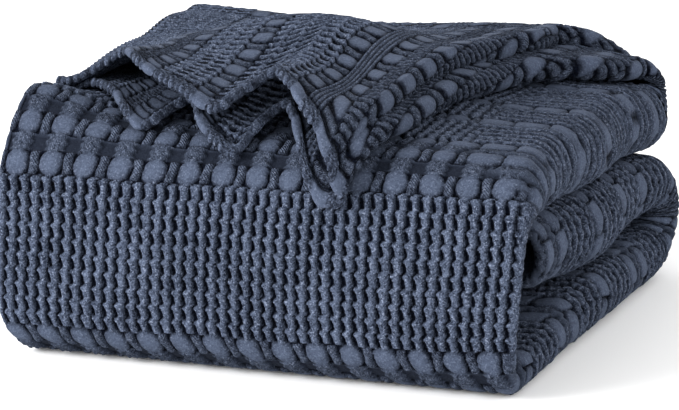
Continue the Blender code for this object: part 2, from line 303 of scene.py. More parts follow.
def uneven(x, y, z):
    """Gives the exact folds the stack's soft unevenness, and centres it."""
    rise = smooth((z - CLOTH) / TOP_LEVEL)
    dz = 0.0
    for hx, hy, wide, deep, height in HUMPS:
        dz = dz + height * MM * np.exp(-((x / MM - hx) / wide) ** 2 - ((y / MM - hy) / deep) ** 2) * rise
    level = smooth(z / LEVEL_RISE)
    middle = np.cos(2 * np.pi * x / BOW_LENGTH)
    dy = -FRONT_BOW * level * middle * smooth(-y / -FRONT_Y)
    side = smooth(x / HALF_WIDTH) * level
    phase = 2 * np.pi * (y / ROLL_WAVE_LENGTH + z / ROLL_WAVE_HEIGHT)
    dx = ROLL_WAVE * side * np.sin(phase)
    return np.stack((x + dx - CENTRE_X, y + dy - CENTRE_Y, z + dz), -1)


# ---- the weave
COLUMN = 7.87  # mm from one rib to the next
CELL_COLUMNS = 3  # ribs to one pillow and its twisted rib
GRID_ROW = 9.8  # mm, one row of knobs
PILLOW_ROW = 15.5  # mm, a row of smooth pillows
NECK_ROW = 10.0  # mm, a row of necks and windows
LEAST_ROOM = 2.0  # mm that still hold a row of necks
MOST_ROOM = 1.6  # neck rows; more room becomes grid
GRID, PILLOWS, NECKS, CORDS = range(4)
BEYOND = 1000  # number of the first band past these

# The grid's knobs. Shares of a column across the rib and of a row along it; heights in mm.
LEAF_LEAN = 0.13  # how far a leaf leans to each side
LEAF_END = 0.86  # where it ends
LEAF_HALF = 0.335  # half its width
HEAD = (0.78, 0.22)  # middle and length of its raised head
EAR = (-0.43, 0.12, 0.80, 0.12)  # middle and size of the ear beside it
EAR_HEIGHT = 0.7
BAR = (0.74, 0.15)  # middle and size of the bar across a hole
GRID_FLOOR = -3.3
BAR_RISE = 1.5

PLEAT_HALF = 0.39  # half a pleat, in rows
PLEAT_FLOOR = -2.8
PLEAT_CREST = 0.55

# A pillow's half width in columns, half height in rows, exponents of its outline, crown and
# floor in mm: on the strips, and on the flap.
PILLOW = (1.00, 0.57, 2.1, 2.6, 0.16, -2.8)
FLAT_PILLOW = (0.84, 0.50, 4.2, 4.2, 0.10, -2.1)
PILLOW_TOP = 0.1
PILLOW_SIDE = 0.22  # lower for a steeper side
PILLOW_PLACE = 1.0  # its middle, in columns
TWIST_PLACE = 2.5  # the twisted rib's middle
TWIST_HALF = 0.40
TWIST_FLOOR = -2.8
TWIST_HEIGHT = 3.0

NECK_HALF = 0.86  # columns
NECK_FLOOR = -2.9
NECK_CREST = 0.45
SILL = (0.93, 0.05)  # middle and size of the thread along a window
NECK_SHADE = 0.84  # how dark the windows are painted, as shade
BARS_PER_COLUMN = 5 / 3
BAR_HALF = 0.38  # share of the bars' pitch
BAR_FLOOR = -2.6
BAR_CREST = -0.1

CORD = 3.0  # mm, one fine cord
BEAD = 3.4  # mm, one bead along it
CORD_FLOOR = -1.7
# painted shade between the cords
CORD_SHADE = 0.9

CAVITY_SHADE = (0.2, 2.0)  # mm: where the painted shade of low places starts, and over which it comes
NECK_CAVITY_SHADE = 0.72  # share of that painted shade in the neck rows
YARN_SIZE = 3.1  # mm
YARN_HEIGHT = 0.10  # mm


def bump(t):
    """A round hump, 1 at 0 and 0 from 1 on."""
    return np.sqrt(np.clip(1.0 - t * t, 0.0, 1.0))


def soft_step(low, high, t):
    """0 before low and 1 past high, with soft ends."""
    return smooth((t - low) / (high - low))


def peak(t, middle, width):
    """A bell, 1 at its middle."""
    return np.exp(-(((t - middle) / width) ** 2))


def cycle(t):
    """A cosine wave with a period of 1."""
    return np.cos(2 * np.pi * t)


def blend(one, two, share):
    """From one to two by a share."""
    return one + (two - one) * share


def chance(i, j, seed):
    """A steady pseudo-random number from 0 to 1 for each cell."""
    value = np.sin(i * 127.1 + j * 311.7 + seed * 74.7) * 43758.5453
    return value - np.floor(value)


def luck(i, j, seed):
    """The same from -0.5 to 0.5."""
    return chance(i, j, seed) - 0.5


def drift(a, b, scale, seed):
    """A slow, smooth wander of about -1 to 1 over a and b in mm."""
    total = 0.0
    for k in range(4):
        angle = seed * 1.7 + k * 2.4
        wave = scale * (0.7 + 0.43 * k)
        total = total + np.sin((a * np.cos(angle) + b * np.sin(angle)) / wave * 2 * np.pi + seed * 3.1 + k)
    return total / 3.0


def bands(rows, cords=()):
    """Start, kind and size in mm of each band, from the middles of the pillow rows, in order."""
    found = []
    half = PILLOW_ROW / 2
    for middle, following in zip(rows, rows[1:] + (None,)):
        found.append((middle - half, PILLOWS, PILLOW_ROW))
        if following is None:
            break
        start = middle + half
        room = following - half - start
        if room < LEAST_ROOM:
            continue
        if middle in cords:
            found.append((start, CORDS, room))
        elif room < MOST_ROOM * NECK_ROW:
            found.append((start, NECKS, room))
        else:
            count = max(1, round(room / GRID_ROW))
            found.extend((start + n * room / count, GRID, room / count) for n in range(count))
    return found


def band_at(along, found):
    """Kind, number, share and size of the band at each place. Outside the bands the grid goes on."""
    starts = np.array([band[0] for band in found])
    kinds = np.array([band[1] for band in found])
    sizes = np.array([band[2] for band in found])
    end = starts[-1] + sizes[-1]
    index = np.clip(np.searchsorted(starts, along, side="right") - 1, 0, len(starts) - 1)
    inside = (along >= starts[0]) & (along < end)
    base = np.where(along < starts[0], starts[0], end)
    steps = np.floor((along - base) / GRID_ROW)
    start = np.where(inside, starts[index], base + steps * GRID_ROW)
    size = np.where(inside, sizes[index], GRID_ROW)
    kind = np.where(inside, kinds[index], GRID)
    number = np.where(inside, index, BEYOND + steps)
    return kind, number, (along - start) / size, size


def grid_row(a, b, rib, row, narrower, wander):
    """The open grid: each rib is a chain of leaves that lean left going up, each with an ear."""
    going_up = 1 - 2 * b / LEAF_END
    going_back = 2 * (b - LEAF_END) / (1 - LEAF_END) - 1
    lean = LEAF_LEAN * np.where(b < LEAF_END, going_up, going_back)
    head = peak(b, *HEAD)
    half = LEAF_HALF - narrower + 0.05 * head + 0.09 * luck(rib, row, 2) + 0.02 * wander
    knob = bump((a - lean) / half)
    ear = peak(a, EAR[0], EAR[1]) * peak(b, EAR[2], EAR[3])
    crest = 0.10 + 0.45 * head + 0.35 * luck(rib, row, 1)
    bar = peak(b, *BAR)
    floor = GRID_FLOOR + BAR_RISE * bar + 0.5 * luck(rib, row, 2)
    height = blend(floor, crest, knob ** 0.62)
    height = blend(height, EAR_HEIGHT, ear * (0.55 + 0.45 * chance(rib, row, 1)))
    # the second value is painted shade in the holes, less on the bars and ears
    return height, (1 - knob ** 0.5) * (1 - 0.45 * bar) * (1 - 0.8 * ear)


def pleat_row(a, b, place_across, rib, row, wander):
    """Where the cloth turns over a roll: wavy pleats across the ribs."""
    wave = 0.13 * np.sin(2 * np.pi * place_across + 6.0 * chance(rib, row, 2)) + 0.10 * wander
    pleat = bump((b - 0.5 + wave) / PLEAT_HALF)
    crest = PLEAT_CREST + 0.5 * luck(row, 0, 7) + 0.14 * cycle(a) + 0.2 * luck(rib, row, 1)
    return blend(PLEAT_FLOOR, crest, pleat ** 0.8), pleat


def pillow_row(in_cell, b, cell, row, form, pleated, gap_side):
    """Pillows with a twisted rib between each two: height, painted shade in the gaps, smooth and twisted
    shares.
    """
    half_width, half_height, side_power, end_power, crown, floor = form
    wide = (half_width + 0.12 * luck(cell, row, 3)) * (1 + 0.95 * pleated)
    tall = half_height + 0.06 * luck(cell, row, 5)
    pa = np.abs((in_cell - PILLOW_PLACE - 0.05 * np.sin(7 * b + cell)) / wide)
    pb = np.abs((b - 0.5 - 0.03 * np.sin(3 * in_cell + cell)) / tall)
    puff = np.clip(1 - pa ** side_power - pb ** end_power, 0, 1)
    top = PILLOW_TOP + crown * (1 - pa * pa) * (1 - pb * pb)
    pillow = blend(floor, top, puff ** PILLOW_SIDE)
    sway = 0.07 * np.sin(2 * np.pi * (b + chance(cell, row, 4)))
    ends = soft_step(0.0, 0.10, b) * (1 - soft_step(0.90, 1.0, b))
    twist = bump((in_cell - TWIST_PLACE - sway) / TWIST_HALF) * ends * (1 - pleated)
    height = np.maximum(pillow, TWIST_FLOOR + TWIST_HEIGHT * twist ** 0.8)
    dark = 1 - np.maximum(puff ** gap_side, twist ** 0.8)
    return height, dark, puff ** 0.35, twist * (1 - puff)


def neck_row(in_cell, b):
    """Necks of a few knobs each, with a smooth window and its sill between each two."""
    off = in_cell - PILLOW_PLACE
    neck = bump(off / (NECK_HALF + 0.12 * cycle(2 * b)))
    lobes = cycle(1.5 * b + 0.25) * cycle(1.3 * off)
    crest = NECK_CREST + 0.65 * lobes + 0.25 * np.cos(2 * np.pi * off * 3.2 + 0.7 * np.sin(9 * b))
    sill = peak(b, *SILL) * (1 - neck)
    height = blend(NECK_FLOOR, crest, neck ** 0.6) + sill
    # the third value is painted shade in the windows, lighter on the sill
    return height, neck, NECK_SHADE * (1 - 0.8 * sill), 1 - neck


def bar_row(place_across, b, row, wander):
    """The flap's rows of close, slanting bars, which leave no windows."""
    slope = place_across * BARS_PER_COLUMN + 0.5 * (b - 0.5) + 0.10 * wander
    number = np.floor(slope + 0.5)
    bar = bump((slope - number) / BAR_HALF)
    crest = BAR_CREST + 0.35 * cycle(1.6 * b + chance(number, row, 8))
    # the third value paints full shade between the bars
    return blend(BAR_FLOOR, crest, bar ** 0.7), bar, 1.0, 0 * b


def cord_row(across, b, size):
    """Fine beaded cords side by side along the row."""
    cord = np.abs(np.sin(np.pi * b * np.maximum(1.0, np.round(size / CORD))))
    bead = 0.5 + 0.5 * cycle(across / BEAD + 0.5 * np.floor(b * np.round(size / CORD)))
    # the second value is painted shade between the cords
    return blend(CORD_FLOOR, 0.6 * bead, cord ** 0.7), CORD_SHADE * (1 - cord)


def weave(along, across, found, column=COLUMN, pleated=0.0, narrower=0.0, barred=False):
    """Relief of the weave in mm at places along the folds and across them, and its masks.

    The masks are the painted shade in its holes, gaps and low places, and how smooth, twisted and
    knobbly the cloth is. Barred cloth, as on the flap, has flatter pillows, stronger painted shade,
    and close bars in place of the necks and windows.
    """
    kind, row, b, size = band_at(along, found)
    place_across = across / column
    rib = np.floor(place_across + 0.5)
    a = place_across - rib
    cell = np.floor(place_across / CELL_COLUMNS)
    in_cell = place_across - cell * CELL_COLUMNS

    grid, hole = grid_row(a, b, rib, row, narrower, drift(along, across, 60.0, 12))
    ridge, pleat = pleat_row(a, b, place_across, rib, row, drift(along, across, 38.0, 9))
    grid = blend(grid, ridge, pleated)
    hole = blend(hole, 1 - pleat ** 1.5, pleated)
    form = FLAT_PILLOW if barred else PILLOW
    pillows, gap, plain, twisted = pillow_row(in_cell, b, cell, row, form, pleated, 0.35 + 4 * narrower)
    if barred:
        necks, neck, shade, window = bar_row(place_across, b, row, drift(along, across, 24.0, 13))
    else:
        necks, neck, shade, window = neck_row(in_cell, b)
    necks = blend(necks, ridge - 0.5, pleated)
    neck = blend(neck, pleat, pleated)
    cords, groove = cord_row(across, b, size)

    kinds = [kind == GRID, kind == PILLOWS, kind == NECKS, kind == CORDS]
    none = np.zeros_like(a)
    height = np.select(kinds, [grid, pillows, necks, cords])
    # painted shade: the holes, gaps, windows and grooves of each row, and all low places by their depth,
    # stronger on the flap
    deep = np.select(kinds, [hole, gap, shade * (1 - neck), groove])
    cavity_shade = np.clip((-height - CAVITY_SHADE[0]) / CAVITY_SHADE[1], 0, 1)
    deep = np.maximum(deep, np.where(kind == NECKS, NECK_CAVITY_SHADE * cavity_shade, cavity_shade))
    deep = np.clip((1.5 if barred else 1.0) * deep, 0, 1)
    flat = np.select(kinds, [none, plain, window, none])
    rope = np.select(kinds, [none, twisted, none, none])
    knobbly = np.select(kinds, [none, none, neck, none])
    yarn = YARN_HEIGHT * (1 - 0.8 * flat) * drift(along, across, YARN_SIZE, 11)
    return height + yarn, deep, flat, rope, knobbly


# ---- sheets of cloth
SKIN = CLOTH / 2 - 0.6 * MM  # the relief's zero, from the middle of the cloth
REACH = 0.002  # step for the tangents
FRONT_STAGE = 3.0  # where the length along the cloth is 0
BACK_STAGE = 7.0  # where the upper back fold starts
LAST_STAGE = 9.0  # the flap's end
LAST_PLACE = 7.0  # the section's inner end
FLAP_LENGTH = 300.0  # mm from the upper back fold to the hem
BACK_TURN = 112.0  # mm round the upper back fold
NOSE_START = 0.12  # stage where the middle roll's end turns in
NOSE_LENGTH = 40.0  # mm of cloth in this turned-in nose
NOSE_LIP = 3.0  # mm, the radius of its lip
NOSE_SHARE = 0.3  # share of it that the lip takes
NOSE_DEPTH = 34.0  # mm that it goes in behind the lip
NOSE_CLOSED = 0.97  # how near to its middle it closes
UV_PER_MM = 0.01  # cloth coordinates are in tenths of a metre

# Swells of the flap's left end and the shoulder below: x, y, width, depth and height in mm.
SWELLS = ((-175, 105, 42, 38, 8.0), (-172, -126, 34, 26, 10.0))


def lengths(points):
    """Running length in mm along the points of a line."""
    steps = np.linalg.norm(np.diff(points, axis=-2), axis=-1)
    return np.concatenate((np.zeros(steps.shape[:-1] + (1,)), np.cumsum(steps, axis=-1)), axis=-1) / MM


STAGE_MARKS = np.linspace(0.0, BACK_STAGE - 1e-6, 4001)
STAGE_LENGTHS = lengths(outer_line(STAGE_MARKS)[..., :2])


def wrap(stage):
    """Length along the outer layer in mm from the foot of the front, for a stage."""
    stage = np.asarray(stage)
    nose = np.minimum(stage - NOSE_START, 0.0) * NOSE_LENGTH
    base = nose + np.interp(np.maximum(stage, NOSE_START), STAGE_MARKS, STAGE_LENGTHS)
    base = base - np.interp(FRONT_STAGE, STAGE_MARKS, STAGE_LENGTHS)
    turn = np.clip(stage - BACK_STAGE, 0.0, 1.0) * BACK_TURN
    return base + turn + np.maximum(stage - FLAP_STAGE, 0.0) * FLAP_LENGTH


def evenly(fine, length, step):
    """Values from the fine ones, about step mm apart along their lengths."""
    count = max(1, round((length[-1] - length[0]) / step))
    return np.interp(np.linspace(length[0], length[-1], count + 1), length, fine)


def stages_between(first, last, step):
    """Stages from first to last, about step mm apart along the cloth."""
    fine = np.linspace(first, last, 2001)
    return evenly(fine, wrap(fine), step)


def places_between(first, last, step, stage):
    """Section places from first to last, about step mm apart at that stage."""
    fine = np.linspace(first, last, 1601)
    return evenly(fine, lengths(place(np.full(fine.shape, stage), fine)), step)


def across(stages, places):
    """Length across the cloth in mm from its left edge, for each stage and section place."""
    fine = np.linspace(0, max(4.0, places.max()), 321)
    length = lengths(place(np.maximum(stages, 0.0)[:, None], fine[None, :]))
    return np.stack([np.interp(places, fine, row) for row in length])


def swell(points):
    """Raises the points by the soft swells, on top of the folds."""
    x, y, z = np.moveaxis(points / MM, -1, 0)
    rise = smooth((z * MM - CLOTH) / TOP_LEVEL)
    lift = 0.0
    for middle_x, middle_y, wide, deep, high in SWELLS:
        lift = lift + high * np.exp(-((x - middle_x) / wide) ** 2 - ((y - middle_y) / deep) ** 2)
    return points + np.stack((0 * x, 0 * x, lift * rise * MM), -1)


def nose_heart():
    """The middle of the middle roll's end: x of its round part's middle, and z, in metres."""
    c = np.linspace(1.0, 2.0, 41)
    end = place(np.full(41, NOSE_START), c)
    low, top = end[:, 2].min(), end[:, 2].max()
    return end[:, 0].max() - (top - low) / 2 * ROLL_DEPTH, (low + top) / 2


def cloth_point(s, c):
    """Points of the cloth in metres; before NOSE_START the middle roll's end turns in to a hollow."""
    point = swell(place(np.maximum(s, NOSE_START), c))
    nose = np.clip(NOSE_START - s, 0.0, 1.0)
    heart_x, heart_z = nose_heart()
    to_x = np.minimum(point[..., 0], heart_x) - point[..., 0]
    to_z = heart_z - point[..., 2]
    distance = np.maximum(np.hypot(to_x, to_z), 1e-6)
    angle = np.pi * np.minimum(nose / NOSE_SHARE, 1.0)
    inward = NOSE_LIP * MM * (1 - np.cos(angle))
    beyond = np.clip((nose - NOSE_SHARE) / (1 - NOSE_SHARE), 0.0, 1.0)
    shift = blend(inward, distance * NOSE_CLOSED, beyond ** 1.5)
    shift = np.minimum(shift, distance * NOSE_CLOSED)
    out = np.stack((to_x / distance * shift, 0 * shift, to_z / distance * shift), -1)
    out[..., 1] = (-NOSE_LIP * np.sin(angle) + NOSE_DEPTH * beyond) * MM
    return point + out * (nose > 0)[..., None]


def unit(v):
    """The vectors at length 1."""
    return v / np.maximum(np.linalg.norm(v, axis=-1, keepdims=True), 1e-12)


def directions(s, c):
    """Unit vectors at a place of the cloth: out of its outer face, along the folds and across them."""
    top = np.minimum(s + REACH, LAST_STAGE)
    low = np.maximum(s - REACH, -1.0)
    along = unit(cloth_point(top, c) - cloth_point(low, c))
    right = np.minimum(c + REACH, LAST_PLACE)
    left = np.maximum(c - REACH, 0.0)
    cross = unit(cloth_point(s, right) - cloth_point(s, left))
    out = unit(np.cross(cross, along))
    return out, along, cross


def turned(values, edge, back, steps):
    """The values, on round the cloth's edge and back on its other face, and the share of the turn."""
    round_turn = np.linspace(0, 1, steps + 1)[1:]
    turn = np.concatenate((np.zeros(len(values)), round_turn, np.ones(len(back))))
    return np.concatenate((values, np.full(steps, edge), back)), turn


def mesh_piece(name, points, uv, masks):
    """A mesh object through a grid of points, with its cloth coordinates and masks."""
    rows, columns = points.shape[:2]
    bm = bmesh.new()
    bmesh.ops.create_grid(bm, x_segments=columns - 1, y_segments=rows - 1, size=1.0)
    mesh = bpy.data.meshes.new(name)
    bm.to_mesh(mesh)
    bm.free()
    mesh.vertices.foreach_set("co", points.reshape(-1, 3).astype(np.float32).ravel())
    corner = np.empty(len(mesh.loops), np.int32)
    mesh.loops.foreach_get("vertex_index", corner)
    layer = mesh.uv_layers.new(name="cloth")
    flat = (uv.reshape(-1, 2) * UV_PER_MM)[corner]
    layer.data.foreach_set("uv", flat.astype(np.float32).ravel())
    for mask, values in masks.items():
        attribute = mesh.attributes.new(mask, "FLOAT", "POINT")
        attribute.data.foreach_set("value", values.astype(np.float32).ravel())
    mesh.polygons.foreach_set("use_smooth", np.ones(len(mesh.polygons), bool))
    mesh.update()
    obj = bpy.data.objects.new(name, mesh)
    scene.collection.objects.link(obj)
    return obj


# ---- where the weave lies on the cloth
# The middles of the pillow rows in mm: along the strips, and across the flap.
BODY_ROWS = (-739, -712, -685, -658, -598, -536, -488, -420, -360, -333, -262, -235, -170, -111, -84,
             -19, 7.6, 34.6, 149.9, 176.7, 203.5, 270, 326, 406, 448)
FLAP_ROWS = (-118, -92, -45, 20, 48, 75, 102, 129, 157, 185, 213, 241)
BODY_BANDS = bands(BODY_ROWS)
FLAP_BANDS = bands(FLAP_ROWS, cords=(20,))
ROW_TILT = 0.036  # the rows climb to the right on the front
TILT_CENTRE = 178.0  # mm from the left edge where the tilt is 0
COLUMN_LEAN = 0.04  # the ribs lean to the left going down
COLUMN_START = 2.13  # mm to the first pillow's cell
LEAN_LEVEL = 144.0  # mm along the cloth where that lean is 0
FLAP_COLUMN = 9.6  # mm, its ribs stand further apart
FLAP_NARROWER = 0.05  # columns by which they are narrower on each side
FLAP_PITCH = 28.5  # mm, about one cell at x = 0
PITCH_GROWTH = 0.045  # more for each mm to the right
PITCH_LIMITS = (24.0, 33.0)
PITCH_START = 230.0  # mm from the fold where all pitches agree
SWITCH = (7.0, 7.12)  # stages over which the flap's weave takes over
# Section place where the pleats start, for stages.
PLEATED = ((0.0, 0.86), (2.9, 0.90), (3.3, 1.30), (5.3, 1.30), (5.6, 0.95), (6.0, 0.86), (6.5, 0.80),
           (8.0, 0.80))
PLEATS_COME = 0.09  # section places over which they come in

EDGE_ROUND = (0.15, 0.55)  # shares of an edge's turn where it becomes a cord
# Where the relief is flattened at the front's right edge: from none to full, at each end.
LIP_STAGES = ((3.2, 3.5), (5.6, 5.3))
LIP_PLACES = ((1.12, 1.34), (1.95, 1.7))
LIP_FLAT = 0.88
FRAY = 3.9  # mm, one fine wave along that edge
CALM_PLACES = (2.96, 3.12)  # the flap's left turn
CALM = 0.82
HOLLOW = (0.16, 0.34)  # stages into the nose over which the relief ends
# painted shade in the nose's hollow
HOLLOW_SHADE = 0.80

HEM_WIDTH = 3.3  # mm, half the hem's rope
HEM_CREST = 0.9  # mm
HEM_KNOBS = 0.9
KNOB = 4.8  # mm, one twist of the rope
GROOVE = (1.6, 1.3, 1.2, 1.5)  # mm: past the rope, width, depth and its shadow's width
OVAL_HALF = 0.36  # pillow rows

LEFT_DROP = 19.0  # mm that the flap's upper layer drops at its left end
DROP_X = (-118.0, -181.0)  # mm, from where to where
LEFT_SINK = 7.0  # mm that its lower layer sinks there
SINK_X = (-158.0, -178.0)
LEAST_Z = 0.0004  # metres over the floor


def body_place(length, width):
    """Cloth coordinates in mm on the folded strips: along the folds and across them."""
    along = length - ROW_TILT * (width - TILT_CENTRE)
    side = width - COLUMN_START - COLUMN_LEAN * (length - LEAN_LEVEL)
    along = along + 1.6 * drift(along, side, 150.0, 1)
    side = side + 1.2 * drift(along, side, 120.0, 2)
    return along, side


def flap_place(length, band):
    """Cloth coordinates in mm on the flap: its pillow rows run from the fold to the hem."""
    pitch = np.clip(FLAP_PITCH + PITCH_GROWTH * band, *PITCH_LIMITS) / FLAP_PITCH
    side = PITCH_START + (length - wrap(FLAP_STAGE) - PITCH_START) / pitch
    along = band + 1.8 * drift(band, side, 110.0, 5)
    side = side + 1.8 * drift(band, side, 100.0, 6)
    return along, side


def pleats(s, c):
    """How far the rows have closed up into pleats, from 0 to 1."""
    start = table(PLEATED, s)[1]
    return soft_step(start, start + PLEATS_COME, c)


def cloth_weave(s, c, length, width, band):
    """Relief and masks of the weave at places of the cloth, on the strips and on the flap."""
    body = weave(*body_place(length, width), BODY_BANDS, pleated=pleats(s, c))
    flap = weave(*flap_place(length, band), FLAP_BANDS, FLAP_COLUMN, narrower=FLAP_NARROWER, barred=True)
    mix = soft_step(*SWITCH, s)
    return [one * (1 - mix) + two * mix for one, two in zip(body, flap)]


def band_of(s, c):
    """On the flap: x in mm along its layers, and on round the roll."""
    x = section(s, c)[0] / MM
    fine = np.linspace(1.0, 2.0, 41)
    rows = s[:, :1]
    length = lengths(place(rows, fine[None, :]))
    ends = section(rows, np.full_like(rows, 2.0))[0] / MM
    for k in range(len(x)):
        round_roll = length[k, -1] - np.interp(c[k], fine, length[k])
        x[k] = np.where((c[k] > 1.0) & (c[k] < 2.0), ends[k, 0] + round_roll, x[k])
    return x


def hem_relief(band, to_edge):
    """The hem's rope: knobbly stretches, and smooth ovals where pillow rows run into it."""
    kind, _, b, _ = band_at(band, FLAP_BANDS)
    twist = np.abs(np.sin(np.pi * (band + 1.2 * to_edge + 0.8 * drift(band, to_edge, 20.0, 4)) / KNOB))
    twist = twist * (0.75 + 0.25 * cycle((to_edge + 0.5 * band) / 4.4))
    knobs = -1.5 + 2.6 * twist ** 0.6
    ovals = -1.4 + 1.8 * bump((b - 0.5) / OVAL_HALF)
    plain = (kind == PILLOWS) * soft_step(0.40, 0.32, np.abs(b - 0.5))
    # the second value is painted shade between the rope's knobs
    return blend(knobs, ovals, plain), 0.85 * (1 - twist) * (1 - plain), plain


def within(ends, t):
    """1 between two soft ends, and 0 outside them."""
    return soft_step(*ends[0], t) * soft_step(*ends[1], t)


def soften(s, c, length, width, rounded, height, deep):
    """Relief and painted shade, eased at edges, at the flap's left turn and in the hollow, where the shade
    is painted dark, and its share.
    """
    height = blend(height, 0.5 + 0.5 * drift(length, width, 9.0, 8), rounded)
    deep = deep * (1 - 0.8 * rounded)
    lip = within(LIP_STAGES, s) * within(LIP_PLACES, c)
    fray = 0.1 + 0.22 * np.sin(2 * np.pi * length / FRAY + 2 * drift(length, width, 30.0, 14))
    height = blend(height, fray, LIP_FLAT * lip)
    calm = soft_step(*CALM_PLACES, c) * (s > 7.5)
    height = height * (1 - CALM * calm) + 0.3 * calm
    deep = deep * (1 - 0.5 * lip)
    hollow = soft_step(*HOLLOW, NOSE_START - s)
    return height * (1 - hollow), blend(deep, HOLLOW_SHADE, hollow), hollow


def add_hem(band, to_edge, other_face, height, masks):
    """Lays the hem's rope and the groove beside it over the weave."""
    rope_width = 2 * HEM_WIDTH
    inside = soft_step(rope_width + 1.5, rope_width - 1.0, to_edge)
    knobs, dark, plain = hem_relief(band, to_edge * np.where(other_face, -1, 1))
    past, wide, depth, shadow = GROOVE
    rope = HEM_CREST * bump((to_edge - HEM_WIDTH * 0.6) / (1.5 * HEM_WIDTH)) + HEM_KNOBS * knobs
    height = blend(height, rope, inside) - depth * peak(to_edge, rope_width + past, wide)
    over = {"deep": dark, "flat": plain}
    masks = {name: values * (1 - inside) + over.get(name, 0.0) * inside for name, values in masks.items()}
    # painted shadow in the groove beside the rope
    masks["deep"] = masks["deep"] + 0.8 * peak(to_edge, rope_width + past, shadow)
    return height, masks


def left_end(points, x, s, c):
    """Lowers the flap's left end, the upper layer more than the lower one."""
    drop = soft_step(*DROP_X, x) * soft_step(8.45, 8.95, s) * soft_step(1.9, 2.1, c)
    sink = soft_step(*SINK_X, x) * soft_step(8.5, 8.85, s) * soft_step(2.0, 1.9, c)
    points[..., 2] = points[..., 2] - (LEFT_DROP * drop + LEFT_SINK * sink) * MM
    points[..., 2] = np.maximum(points[..., 2], LEAST_Z)


def sheet_of_cloth(name, stages, places, face=1, stage_turn=None, place_turn=None, place_way=1.0,
                   strength=1.0, hem=False):
    """One piece of the cloth's skin over stages and section places, with its weave in relief.

    A turn is, for each row or column, the share of its way round the cloth's edge to the other
    face. place_way is the side on which a column's edge lies, -1 for the left one.
    """
    stage_turn = np.zeros(len(stages)) if stage_turn is None else stage_turn
    place_turn = np.zeros(len(places)) if place_turn is None else place_turn
    s, c = np.broadcast_arrays(stages[:, None], places[None, :])
    ts, tc = np.broadcast_arrays(stage_turn[:, None], place_turn[None, :])
    middle = cloth_point(s, c)
    out, along, cross = directions(s, c)
    amount = np.minimum(np.hypot(ts, tc), 1.0)
    way = unit(along * ts[..., None] + place_way * cross * tc[..., None] + 1e-9)
    angle = np.pi * amount[..., None]
    heading = out * face * np.cos(angle) + way * np.sin(angle)

    # cloth coordinates, which run on round the turned edges
    turn_length = np.pi * SKIN / MM
    end = wrap(LAST_STAGE)
    flat_length = wrap(s)
    length = np.where(ts > 0, 2 * end - flat_length + turn_length * ts, flat_length)
    width = across(stages, places)
    edge = across(stages, np.array([0.0 if place_way < 0 else LAST_PLACE]))
    width = np.where(tc > 0, 2 * edge - width + place_way * turn_length * tc, width)
    band = band_of(s, c)

    height, deep, flat, rope, neck = cloth_weave(s, c, length, width, band)
    rounded = soft_step(*EDGE_ROUND, amount) * (0.0 if hem else 1.0)
    height, deep, hollow = soften(s, c, length, width, rounded, height * strength, deep)
    # deep is the painted shade in holes, gaps, grooves and the hollow
    masks = {"deep": deep, "flat": flat, "rope": rope, "neck": neck}
    if hem:
        height, masks = add_hem(band, end - flat_length, ts >= 1, height, masks)
    masks["deep"] = np.clip(masks["deep"], 0, 1)
    closed = pleats(s, c) * (1 - soft_step(*SWITCH, s)) * (1 - np.clip(masks["flat"], 0, 1))
    masks["closed"] = closed * (1 - hollow)
    points = middle + heading * (SKIN + height * MM)[..., None]
    left_end(points, middle[..., 0] / MM, s, c)

    order = slice(None) if face > 0 else slice(None, None, -1)
    uv = np.stack((width, length), -1)
    masks = {mask: values[:, order] for mask, values in masks.items()}
    obj = mesh_piece(name, points[:, order], uv[:, order], masks)
    skin = middle + heading * SKIN
    obj["flat_size"] = [lengths(grid)[:, -1].mean() * MM for grid in (skin, np.swapaxes(skin, 0, 1))]
    return obj


# ---- material
DARK_YARN = (0.006, 0.009, 0.018, 1)
PALE_YARN = (0.098, 0.122, 0.182, 1)
SPECK = (0.22, 0.25, 0.33, 1)
# painted shade: holes, gaps, grooves and the hollow are darkened towards this colour
HOLE_SHADE = (0.015, 0.022, 0.042, 1)

# Noises: scale, and the range of values that is spread over 0 to 1.
FIBRE = (850.0, 0.36, 0.64)
YARN = (360.0, 0.34, 0.66)
FADE = (30.0, 0.30, 0.70)
TONE_SHARES = (0.45, 0.40, 0.15)  # of the three noises in the yarn's tone
TONE_ENDS = (0.05, 0.95)  # tones of the dark and of the pale yarn
MIDDLE_TONE = 0.46  # smooth cloth's tone draws near to it
SMOOTH_LOSS = 0.70  # share of its unevenness that goes
SPECK_START = 0.985  # fibre noise from which a loose fibre shows
SPECK_STRENGTH = 0.45

# Waves on the cloth: direction, scale and distortion.
FINE_PLEATS = ("Y", 6.2, 1.6)
TWISTED_RIBS = ("DIAGONAL", 30.0, 1.2)
NECK_STRANDS = ("X", 34.0, 2.5)
TROUGH_POWER = 3.0  # higher for narrower troughs of painted shade
# painted shade in the troughs of the closed-up pleats
TROUGH_SHADE = 0.38

YARN_RELIEF = (0.35, 0.6)  # strength of fibre and yarn in the fine relief
WAVE_RELIEF = (1.3, 0.9, 1.6)  # of twisted ribs, neck strands and fine pleats
RELIEF_HEIGHT = 0.0011  # metres


def fill(node, values):
    """Gives a node's inputs their values."""
    for name, value in values.items():
        node.inputs[name].default_value = value


